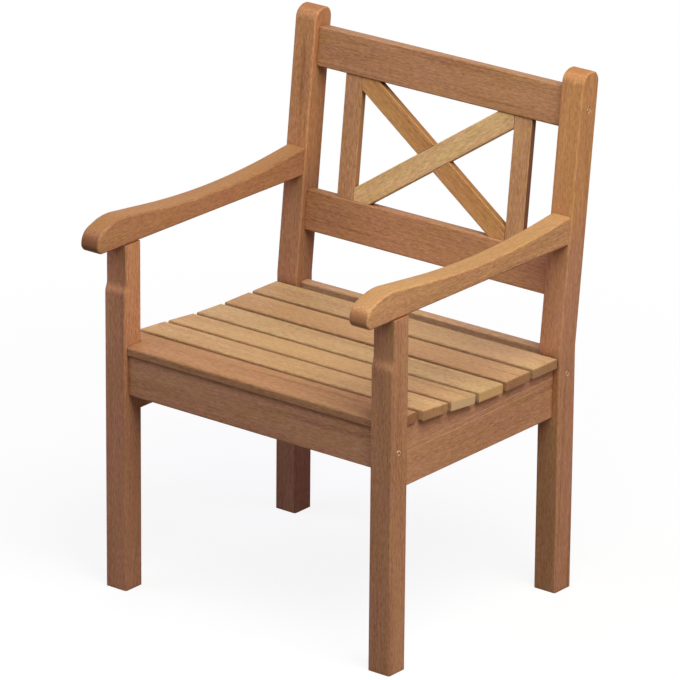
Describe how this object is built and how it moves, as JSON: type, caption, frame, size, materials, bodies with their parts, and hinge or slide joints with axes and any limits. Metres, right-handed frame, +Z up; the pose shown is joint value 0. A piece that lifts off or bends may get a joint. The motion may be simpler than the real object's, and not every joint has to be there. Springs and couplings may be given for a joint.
{
  "type": "slatted wooden armchair",
  "caption": "Rigid hardwood garden armchair with a dished slatted seat, curved armrests and a crossed-slat back between leaning posts.",
  "frame": {"origin": "on the floor, in the middle of the chair's outline seen from above", "axes": "+Z up, +Y towards the back, -Y towards the sitter's knees, +X to the right of someone who faces the chair's front"},
  "size_m": [0.6016, 0.602, 0.895],
  "materials": {
    "frame_wood": "oiled, satin",
    "arm_wood": "oiled, satin",
    "slat_wood": "oiled, satin",
    "back_wood": "oiled, satin",
    "cross_wood": "oiled, satin",
    "cleat_wood": "sawn and oiled",
    "bolt_brass": "dull",
    "nut_steel": "zinc plated",
    "screw_steel": "zinc plated"
  },
  "bodies": {
    "root": {"front_leg_right": "frame_wood", "front_leg_left": "frame_wood", "back_post_right": "frame_wood", "back_post_left": "frame_wood", "armrest_right": "arm_wood", "armrest_left": "arm_wood", "side_seat_rail_right": "frame_wood", "side_seat_rail_left": "frame_wood", "front_seat_rail": "frame_wood", "back_seat_rail": "frame_wood", "seat_slat_front": "slat_wood", "seat_slat_2": "slat_wood", "seat_slat_3": "slat_wood", "seat_slat_4": "slat_wood", "seat_slat_5": "slat_wood", "seat_slat_rear": "slat_wood", "seat_cleat_right": "cleat_wood", "seat_cleat_left": "cleat_wood", "top_back_rail": "back_wood", "lower_back_rail": "back_wood", "back_stile_right": "back_wood", "back_stile_left": "back_wood", "cross_slat_front": "cross_wood", "cross_slat_rear": "cross_wood", "frame_bolts": "bolt_brass", "barrel_nuts": "nut_steel", "slat_screws": "screw_steel", "cleat_screws": "screw_steel"}
  },
  "joints": []
}
